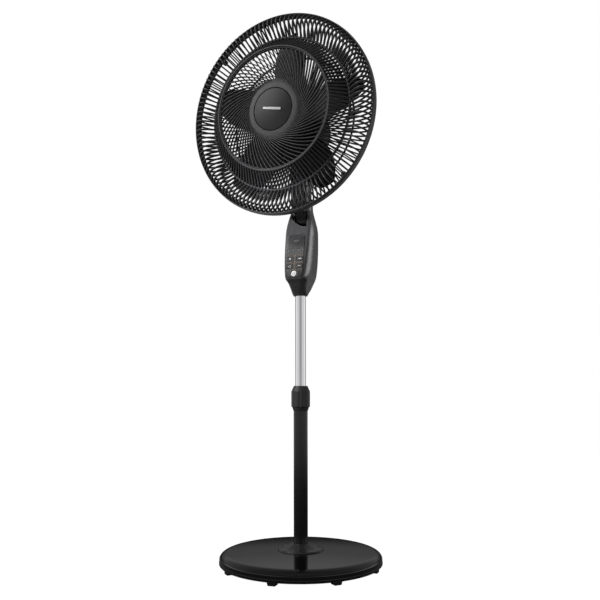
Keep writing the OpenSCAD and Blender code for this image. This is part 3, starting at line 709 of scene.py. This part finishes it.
def centre_disc():
    """Curved ribs that leave the collar along its edge and reach the ring."""
    out = Shape()
    inner, outer = 49.0, 130.9
    steps = 26
    section = fillet([(-0.9, 0, 0.6), (0.9, 0, 0.6), (0.9, 5, 0.6), (-0.9, 5, 0.6)], 2)
    r_of = [inner * (outer / inner) ** (k / steps) for k in range(steps + 1)]
    path = []
    for r in r_of:
        a = spiral_angle(r, 57.0, outer)
        rise = 142.2 + 4.4 * min(1.0, (r - inner) / 36.0) ** 1.5
        path.append((r * math.cos(a), r * math.sin(a), rise))
    rings = []
    for k, p in enumerate(path):
        a, b = path[max(k - 1, 0)], path[min(k + 1, steps)]
        t = Vector((b[0] - a[0], b[1] - a[1])).normalized()
        thick = min(1.0, 0.3 + 0.7 * (r_of[k] - inner) / 22.0)
        rings.append([(p[0] - t.y * w * thick, p[1] + t.x * w * thick, p[2] - d) for w, d in section])
    points, faces = stack(rings)
    for k in range(SPIRALS):
        out.add(turned(points, 2 * math.pi * k / SPIRALS), faces, at_head)
    band = fillet([(129.3, 140.6, 0.4), (130.9, 140.6, 0.4), (130.9, 148, 0.5), (129.3, 147, 0.5)], 3)
    out.add(*lathe(band, 180), at_head)
    collar_line = fillet([(47, 138, 0.5), (65.5, 138, 0.5), (67.5, 140.8, 1.2), (57, 142.5, 14),
                          (47.2, 143.25, 0.4)], 6)
    out.add(*lathe(collar_line, 160), at_head)
    return out


def cap():
    """Shallow crowned disc with a skirt behind it."""
    face_r, crown, fall, steps = 45.0, 147.5, 4.0, 14
    face = [(face_r * k / steps, crown - fall * (k / steps) ** 2) for k in range(steps + 1)]
    rest = fillet([(46.9, 143.2, 0.5), (46.9, 136, 0.3), (44.6, 136, 0.3), (44.6, 140.6, 0.5)], 3)
    return Shape().add(*lathe(face + rest + [(0, 143)], 128), at_head)


def badge():
    """Plain bar on the cap, with its right end lowered."""
    profile = ((0, 147.0), (0, 148.0), (0.15, 148.3), (0.45, 148.4))
    points, faces = pad_block(22, 2.6, 0.9, profile)
    return Shape().add(turned(points, math.radians(-10.4)), faces, at_head)


def rear_cage():
    """Rear grille: ribs, one ring, the rim with its lugs and the disc round the motor."""
    out = Shape()
    line = smooth_line([(60, 30), (105, 33), (155, 43), (188, 58), (205, 76), (215, 93.5)], 5)
    points, faces = rail(line, RIB_HALF, 5, RIB_ROUND)
    for k in range(RIBS):
        out.add(turned(points, 2 * math.pi * k / RIBS), faces, at_head)
    rim = fillet([(RIM_IN, 90, 0.8), (220.7, 90, 2.2), (220.7, 97.7, 0.6), (RIM_IN, 97.7, 0.6)], 4)
    out.add(*lathe(rim, 256), at_head)
    add_lugs(out, 89.4, 97.7)
    out.add(*torus(150, 2.4, 39.5), at_head)
    disc = fillet([(28.3, 26.2, 0.4), (62, 26.2, 0.8), (62, 31, 1.0), (28.3, 31, 0.4)], 3)
    out.add(*lathe(disc, 128), at_head)
    return out


# ---------------------------------------------------------------- fan

BLADE_R = 190.0
HUB_R = 45.0
ROOT_R = 43.5              # the blades start inside the hub's wall
BLADES = 5


def blade_span(r):
    """0 at the hub and 1 at the tip."""
    return (r - HUB_R) / (BLADE_R - HUB_R)


def blade_point(r, u, side):
    """Point of the blade at radius r; u runs from its low edge to its high one, side is -1 or 1."""
    s = blade_span(max(r, HUB_R))
    low = -24 + 33 * s ** 0.85             # angles of the two edges, degrees
    high = 42 - 23 * s * s
    deep = 34 - 18 * blade_span(r)         # how much farther back the high edge stands
    a = math.radians(low + (high - low) * u)
    belly = 12 * u * (1 - u)
    f = 68 + 8 * blade_span(r) - (u - 0.5) * deep - belly
    edge = 4 * u * (1 - u)
    half = 0.35 + 0.45 * min(1.0, edge * 3)  # thinner towards both edges
    return (r * math.cos(a), r * math.sin(a), f + side * half)


def blades():
    out = Shape()
    rows, cols = 40, 24
    rings = []
    for i in range(rows + 1):
        r = ROOT_R + (BLADE_R - ROOT_R) * i / rows
        lower = [blade_point(r, j / cols, -1) for j in range(cols + 1)]
        upper = [blade_point(r, j / cols, 1) for j in range(cols, -1, -1)]
        rings.append(lower + upper)
    n = len(rings[0])
    points = [p for loop in rings for p in loop]
    faces = []
    for i in range(rows):
        for j in range(n):
            k = (j + 1) % n
            faces.append((i * n + j, i * n + k, (i + 1) * n + k, (i + 1) * n + j))
    for i in (0, rows):
        for j in range(cols):
            a = i * n
            faces.append((a + j, a + j + 1, a + n - 2 - j, a + n - 1 - j))
    for k in range(BLADES):
        out.add(turned(points, 2 * math.pi * k / BLADES), faces, at_head)
    return out


def hub():
    """Cup that carries the blades."""
    line = fillet([(0, 84.5, 0), (38, 84.5, 5), (HUB_R, 80, 5), (HUB_R, 50, 0.6), (42.4, 50, 0.6),
                   (42.4, 76, 4), (37, 82, 3), (0, 82, 0)], 5)
    return Shape().add(*lathe(line, 128), at_head)


def spin_nut():
    """Nut in front of the hub with six finger scallops."""
    line = fillet([(0, 84.7, 0), (16, 84.7, 0.5), (16, 88.4, 1.0), (13, 94, 2.0), (11, 101, 2.0),
                   (8, 103.5, 1.5), (0, 104, 0)], 4)
    scallops, scallop_r, circle_r = 6, 3, 17
    cut = []
    for k in range(scallops):
        a = 2 * math.pi * k / scallops
        x, y = circle_r * math.cos(a), circle_r * math.sin(a)
        tool = rod(scallop_r, 88, 108, lambda p, x=x, y=y: at_head((x + p[0], y + p[1], p[2])), 32)
        cut.append(("DIFFERENCE", tool))
    return carved("fan_nut", Shape().add(*lathe(line, 96), at_head), cut, 30)


# ---------------------------------------------------------------- materials

def material(name, colour, rough, metal=0.0, coat=0.0, coat_rough=0.1, specular=0.5, grain=900.0,
             bump=0.02, tone=0.12, wear=0.08, ior=1.5):
    """Moulded or painted surface: fine grain, slow colour change and a little uneven gloss."""
    mat = bpy.data.materials.new(name)
    mat.use_nodes = True
    tree = mat.node_tree
    shader = tree.nodes["Principled BSDF"]
    shader.inputs["Metallic"].default_value = metal
    shader.inputs["Coat Weight"].default_value = coat
    shader.inputs["Coat Roughness"].default_value = coat_rough
    shader.inputs["Specular IOR Level"].default_value = specular
    shader.inputs["IOR"].default_value = ior
    where = tree.nodes.new("ShaderNodeTexCoord")

    def noise(scale, detail):
        n = tree.nodes.new("ShaderNodeTexNoise")
        n.inputs["Scale"].default_value = scale
        n.inputs["Detail"].default_value = detail
        tree.links.new(where.outputs["Object"], n.inputs["Vector"])
        return n.outputs["Fac"]

    slow, fine = noise(14.0, 3.0), noise(grain, 2.0)
    ramp = tree.nodes.new("ShaderNodeValToRGB")
    ramp.color_ramp.elements[0].position = 0.3
    ramp.color_ramp.elements[1].position = 0.7
    ramp.color_ramp.elements[0].color = [c * (1 - tone) for c in colour] + [1]
    ramp.color_ramp.elements[1].color = [min(c * (1 + tone), 1) for c in colour] + [1]
    tree.links.new(slow, ramp.inputs["Fac"])
    tree.links.new(ramp.outputs["Color"], shader.inputs["Base Color"])
    spread = tree.nodes.new("ShaderNodeMapRange")
    spread.inputs["To Min"].default_value = max(rough - wear, 0.02)
    spread.inputs["To Max"].default_value = min(rough + wear, 1.0)
    tree.links.new(noise(55.0, 4.0), spread.inputs["Value"])
    tree.links.new(spread.outputs["Result"], shader.inputs["Roughness"])
    rise = tree.nodes.new("ShaderNodeBump")
    rise.inputs["Strength"].default_value = bump
    rise.inputs["Distance"].default_value = 0.0004
    tree.links.new(fine, rise.inputs["Height"])
    tree.links.new(rise.outputs["Normal"], shader.inputs["Normal"])
    return mat


MATERIALS = {
    "base_gloss": material("base_gloss", (0.0025, 0.0025, 0.003), 0.08, coat=0.2, grain=600, bump=0.01,
                           wear=0.03),
    "boss_satin": material("boss_satin", (0.018, 0.018, 0.019), 0.26, grain=700, bump=0.02, wear=0.04),
    "cast_weight": material("cast_weight", (0.1, 0.1, 0.1), 0.7, metal=0.6, grain=350, bump=0.5),
    "base_plate": material("base_plate", (0.03, 0.03, 0.03), 0.6),
    "foot_rubber": material("foot_rubber", (0.018, 0.018, 0.018), 0.7, grain=1400, bump=0.1),
    "zinc_steel": material("zinc_steel", (0.62, 0.63, 0.65), 0.33, metal=1.0, grain=500, bump=0.04),
    "black_steel": material("black_steel", (0.03, 0.03, 0.03), 0.4, metal=0.7),
    "pole_paint": material("pole_paint", (0.004, 0.004, 0.0045), 0.17, specular=0.5, grain=1500, bump=0.03),
    "inner_plastic": material("inner_plastic", (0.16, 0.16, 0.17), 0.5),
    "collar_plastic": material("collar_plastic", (0.03, 0.03, 0.031), 0.42, grain=1600, bump=0.06),
    "chrome_tube": material("chrome_tube", (0.86, 0.86, 0.88), 0.09, metal=1.0, grain=300, bump=0.004,
                            tone=0.02, wear=0.03),
    "housing_plastic": material("housing_plastic", (0.036, 0.036, 0.038), 0.3, grain=1300, bump=0.03),
    "panel_film": material("panel_film", (0.024, 0.024, 0.025), 0.32, grain=900, bump=0.01),
    "lamp_window": material("lamp_window", (0.1, 0.1, 0.1), 0.25),
    "board": material("board", (0.03, 0.12, 0.05), 0.4),
    "power_key": material("power_key", (0.55, 0.55, 0.54), 0.35, tone=0.03),
    "key_plastic": material("key_plastic", (0.022, 0.022, 0.023), 0.36),
    # The neck's very dark base colour, darker than the housing, is partly the neck's own black plastic and
    # partly painted shade for the hollow in the housing's front.
    "neck_plastic": material("neck_plastic", (0.005, 0.005, 0.0055), 0.42, grain=1300, bump=0.03),
    "nylon": material("nylon", (0.8, 0.79, 0.74), 0.45, tone=0.04),
    "motor_cast": material("motor_cast", (0.5, 0.5, 0.5), 0.5, metal=1.0, grain=400, bump=0.2),
    "lamination": material("lamination", (0.35, 0.35, 0.37), 0.4, metal=1.0, bump=0.1),
    "copper": material("copper", (0.72, 0.33, 0.14), 0.35, metal=1.0, grain=700, bump=0.3),
    "bronze": material("bronze", (0.55, 0.4, 0.2), 0.45, metal=1.0),
    "motor_plastic": material("motor_plastic", (0.02, 0.02, 0.022), 0.45, grain=1300, bump=0.06),
    "grille_plastic": material("grille_plastic", (0.033, 0.033, 0.035), 0.42, grain=1500, bump=0.03),
    "cap_plastic": material("cap_plastic", (0.008, 0.008, 0.009), 0.38, specular=0.4, grain=1300, bump=0.04),
    "badge": material("badge", (0.5, 0.5, 0.5), 0.3, tone=0.05),
    "shaft_steel": material("shaft_steel", (0.6, 0.6, 0.62), 0.2, metal=1.0),
    "blade_plastic": material("blade_plastic", (0.006, 0.006, 0.0065), 0.36, grain=1200, bump=0.02),
}
EXTRA = {
    "panel_grid": material("grid_print", (0.24, 0.12, 0.035), 0.5, tone=0.1),
    "panel_marks": material("mark_print", (0.09, 0.09, 0.09), 0.5, tone=0.1),
    "icon": material("icon_print", (0.6, 0.6, 0.58), 0.5, tone=0.06),
    "power_sign": material("sign_print", (0.3, 0.3, 0.3), 0.5, tone=0.06),
}


# ---------------------------------------------------------------- the pieces

piece("base_dome", base_cover(), "base", "base_gloss", "base_cover", sharp=40)
piece("boss_cone", base_boss(), "base", "boss_satin", "base_boss", sharp=35)
piece("foot_pads", base_feet(), "base", "foot_rubber", "base_feet", sharp=40)
piece("lower_pole", pole(outer=16.75, inner=15.45, low=24, high=400), "base", "pole_paint", "outer_pole")
piece("grip_nut", collar(), "collar", "collar_plastic", "height_collar", sharp=32)
piece("upper_pole", pole(outer=12.5, inner=11.5, low=240, high=688), "mast", "chrome_tube", "inner_pole")
put("front_housing", front_shell(), "mast", "housing_plastic", "housing_front")
put("rear_housing", rear_shell(), "mast", "housing_plastic", "housing_rear")
put("panel_face", panel_overlay(), "mast", "panel_film", "control_panel")
build_panel()
put("neck_arm", neck_shell(), "neck", "neck_plastic", "neck")
piece("front_cage", outer_grille(), "head", "grille_plastic", "front_grille", sharp=50)
piece("centre_cage", centre_disc(), "head", "grille_plastic", "grille_centre", sharp=50)
piece("cap_disc", cap(), "head", "cap_plastic", "centre_cap")
piece("badge_bar", badge(), "head", "badge", "cap_badge")
piece("rear_cage", rear_cage(), "head", "grille_plastic", "rear_grille", sharp=50)
piece("fan_wings", blades(), "fan", "blade_plastic", "fan_blades", sharp=50)
piece("fan_cup", hub(), "fan", "blade_plastic", "blade_hub")
put("fan_nut", spin_nut(), "fan", "blade_plastic", "blade_nut")

for obj, slot_name in PIECES:
    special = next((EXTRA[k] for k in EXTRA if k in obj.name), None)
    obj.data.materials.clear()
    obj.data.materials.append(special or MATERIALS[slot_name])

SLOT_OF = {s["node"]: s["material_slot"] for s in frame["record"]["subparts"]}
for node_name, obj in frame["nodes"].items():
    finish = MATERIALS[SLOT_OF[node_name]]
    if not obj.material_slots:
        obj.data.materials.append(finish)
    for place in obj.material_slots:
        place.material = finish


# ---------------------------------------------------------------- studio, in metres

FLOOR_HALF = 40
FLOOR_TONE = 0.08
FLOOR_WHITE = 1.0          # as the camera sees it
FLOOR_GLOW = (0.03, 0.6)   # as the fan sees it, near and far
GLOW_REACH = (1.0, 4.0)    # distances of near and far
TURN = math.radians(24.8)  # how far the camera stands to the right of the fan's axis
WORLD_POWER = 0.9


def place_light(light, at, aim, glossy):
    obj = bpy.data.objects.new(light.name, light)
    obj.location = at
    obj.rotation_euler = (Vector(aim) - Vector(at)).to_track_quat("-Z", "Y").to_euler()
    bpy.context.scene.collection.objects.link(obj)
    obj.visible_camera = False
    obj.visible_glossy = glossy
    return obj


def area_light(name, at, aim, size, power, glossy=False):
    light = bpy.data.lights.new(name, "AREA")
    light.shape = "RECTANGLE"
    light.size, light.size_y = size
    light.energy = power
    return place_light(light, at, aim, glossy)


def spot_light(name, at, aim, wide, power):
    """Soft narrow beam, wide degrees across, that shows in no reflection."""
    light = bpy.data.lights.new(name, "SPOT")
    light.energy = power
    light.spot_size = math.radians(wide)
    light.spot_blend = 1.0
    light.shadow_soft_size = 0.08
    return place_light(light, at, aim, False)


def light_only(lamp, pieces):
    """Lets the lamp shine on these pieces alone."""
    lit = bpy.data.collections.new(f"lit_by_{lamp.name}")
    for obj in pieces:
        lit.objects.link(obj)
    lamp.light_linking.receiver_collection = lit


def floor():
    """Wide floor: plain white for the camera; the fan sees it dim close by and brighter far off."""
    mesh = bpy.data.meshes.new("floor")
    h = FLOOR_HALF
    mesh.from_pydata([(-h, -h, 0), (h, -h, 0), (h, h, 0), (-h, h, 0)], [], [(0, 1, 2, 3)])
    obj = bpy.data.objects.new("floor", mesh)
    bpy.context.scene.collection.objects.link(obj)
    mat = bpy.data.materials.new("floor_white")
    mat.use_nodes = True
    tree = mat.node_tree
    shader = tree.nodes["Principled BSDF"]
    shader.inputs["Base Color"].default_value = (FLOOR_TONE, FLOOR_TONE, FLOOR_TONE, 1)
    shader.inputs["Roughness"].default_value = 1.0
    shader.inputs["Specular IOR Level"].default_value = 0.0
    shader.inputs["Emission Color"].default_value = (1, 1, 1, 1)
    path = tree.nodes.new("ShaderNodeLightPath")
    where = tree.nodes.new("ShaderNodeTexCoord")
    reach = tree.nodes.new("ShaderNodeVectorMath")
    reach.operation = "LENGTH"
    tree.links.new(where.outputs["Object"], reach.inputs[0])
    near = tree.nodes.new("ShaderNodeMapRange")
    near.interpolation_type = "SMOOTHSTEP"
    near.inputs["From Min"].default_value, near.inputs["From Max"].default_value = GLOW_REACH
    near.inputs["To Min"].default_value, near.inputs["To Max"].default_value = FLOOR_GLOW
    tree.links.new(reach.outputs["Value"], near.inputs["Value"])
    glow = tree.nodes.new("ShaderNodeMix")
    glow.inputs["B"].default_value = FLOOR_WHITE
    tree.links.new(path.outputs["Is Camera Ray"], glow.inputs["Factor"])
    tree.links.new(near.outputs["Result"], glow.inputs["A"])
    tree.links.new(glow.outputs["Result"], shader.inputs["Emission Strength"])
    mesh.materials.append(mat)


def world():
    """Room for the reflections: a bright low band in front and at the sides, dark low down behind.

    The camera itself sees plain white."""
    env = bpy.data.worlds.new("studio")
    bpy.context.scene.world = env
    env.use_nodes = True
    tree = env.node_tree
    back = tree.nodes["Background"]
    where = tree.nodes.new("ShaderNodeTexCoord")
    split = tree.nodes.new("ShaderNodeSeparateXYZ")
    tree.links.new(where.outputs["Generated"], split.inputs["Vector"])

    def math_node(how, a, b=None):
        n = tree.nodes.new("ShaderNodeMath")
        n.operation = how
        for socket, value in zip(n.inputs, (a, b)):
            if value is None:
                continue
            if isinstance(value, (int, float)):
                socket.default_value = value
            else:
                tree.links.new(value, socket)
        return n.outputs["Value"]

    def ramp(value, spots):
        n = tree.nodes.new("ShaderNodeValToRGB")
        n.color_ramp.interpolation = "EASE"
        while len(n.color_ramp.elements) < len(spots):
            n.color_ramp.elements.new(0.5)
        for e, (at, tone) in zip(n.color_ramp.elements, spots):
            e.position = at
            e.color = (tone, tone, tone, 1)
        tree.links.new(value, n.inputs["Fac"])
        return n.outputs["Color"]

    # ahead runs from 0 behind the fan to 1 at the camera's side, high from 0 below to 1 overhead
    toward = math_node("ADD", math_node("MULTIPLY", split.outputs["X"], math.sin(TURN)),
                       math_node("MULTIPLY", split.outputs["Y"], -math.cos(TURN)))
    ahead = math_node("ADD", math_node("MULTIPLY", toward, 0.5), 0.5)
    high = math_node("ADD", math_node("MULTIPLY", split.outputs["Z"], 0.5), 0.5)
    around = ramp(high, ((0.0, 0.3), (0.47, 1.0), (0.56, 1.0), (0.6, 0.4), (0.75, 0.35), (1.0, 0.2)))
    straight_back = ramp(high, ((0.0, 0.2), (0.5, 0.02), (0.545, 0.02), (0.61, 0.15), (0.68, 0.32),
                                (1.0, 0.15)))
    low_band = ramp(high, ((0.0, 0.08), (0.47, 0.75), (0.585, 0.75), (0.62, 0.08), (0.8, 0.25), (1.0, 0.2)))
    front = math_node("MULTIPLY", low_band, ramp(ahead, ((0.0, 1.0), (0.89, 1.0), (1.0, 0.5))))
    share = ramp(ahead, ((0.0, 0.0), (0.42, 0.05), (0.68, 1.0), (1.0, 1.0)))

    def blend(share, a, b):
        n = tree.nodes.new("ShaderNodeMix")
        n.data_type = "RGBA"
        tree.links.new(share, n.inputs["Factor"])
        sockets = [i for i in n.inputs if i.type == "RGBA"]
        tree.links.new(a, sockets[0])
        tree.links.new(b, sockets[1])
        return [o for o in n.outputs if o.type == "RGBA"][0]

    behind = blend(ramp(ahead, ((0.0, 0.0), (0.1, 0.0), (0.3, 1.0), (1.0, 1.0))), straight_back, around)
    tree.links.new(blend(share, behind, front), back.inputs["Color"])
    back.inputs["Strength"].default_value = WORLD_POWER
    plain = tree.nodes.new("ShaderNodeBackground")
    plain.inputs["Color"].default_value = (1, 1, 1, 1)
    path = tree.nodes.new("ShaderNodeLightPath")
    choice = tree.nodes.new("ShaderNodeMixShader")
    tree.links.new(path.outputs["Is Camera Ray"], choice.inputs["Fac"])
    tree.links.new(back.outputs["Background"], choice.inputs[1])
    tree.links.new(plain.outputs["Background"], choice.inputs[2])
    tree.links.new(choice.outputs["Shader"], tree.nodes["World Output"].inputs["Surface"])


floor()
world()
area_light("key", (-1.7, -1.7, 2.3), (0, 0, 0.9), (1.0, 1.0), 52)
soft = area_light("soft", (-1.45, -1.5, 2.5), (0, 0, 1.0), (1.9, 1.9), 32, True)
strip = area_light("strip", (2.17, 1.0, 1.2), (0, 0, 0.8), (1.7, 1.4), 36, True)
light_only(soft, [obj for obj, _ in PIECES if obj.name != "base_dome"])
light_only(strip, [bpy.data.objects[n] for n in ("front_housing", "rear_housing", "neck_arm")])
strip.visible_diffuse = False
spot_light("face", (-0.45, -1.5, 0.72), (0, 0, 0.83), 11, 250)
area_light("rear", (-0.6, 2.2, 2.2), (0, 0, 0.8), (2.0, 1.2), 20)

# ---------------------------------------------------------------- camera

FAR = 1.716                # distance from the fan's upright axis
EYE_HEIGHT = 0.413
ROLL = math.radians(0.073)
FOCAL = 43.644             # mm, on a sensor 36 mm wide
SHIFT = (-0.0010667, 0.1523333)

lens = bpy.data.cameras.new("view")
lens.sensor_width = 36.0
lens.lens = FOCAL
lens.shift_x, lens.shift_y = SHIFT
lens.clip_end = 100.0
eye = bpy.data.objects.new("view", lens)
eye.location = (FAR * math.sin(TURN), -FAR * math.cos(TURN), EYE_HEIGHT)
eye.rotation_euler = (math.pi / 2, ROLL, TURN)
bpy.context.scene.collection.objects.link(eye)
bpy.context.scene.camera = eye
bpy.context.scene.view_settings.view_transform = "Standard"
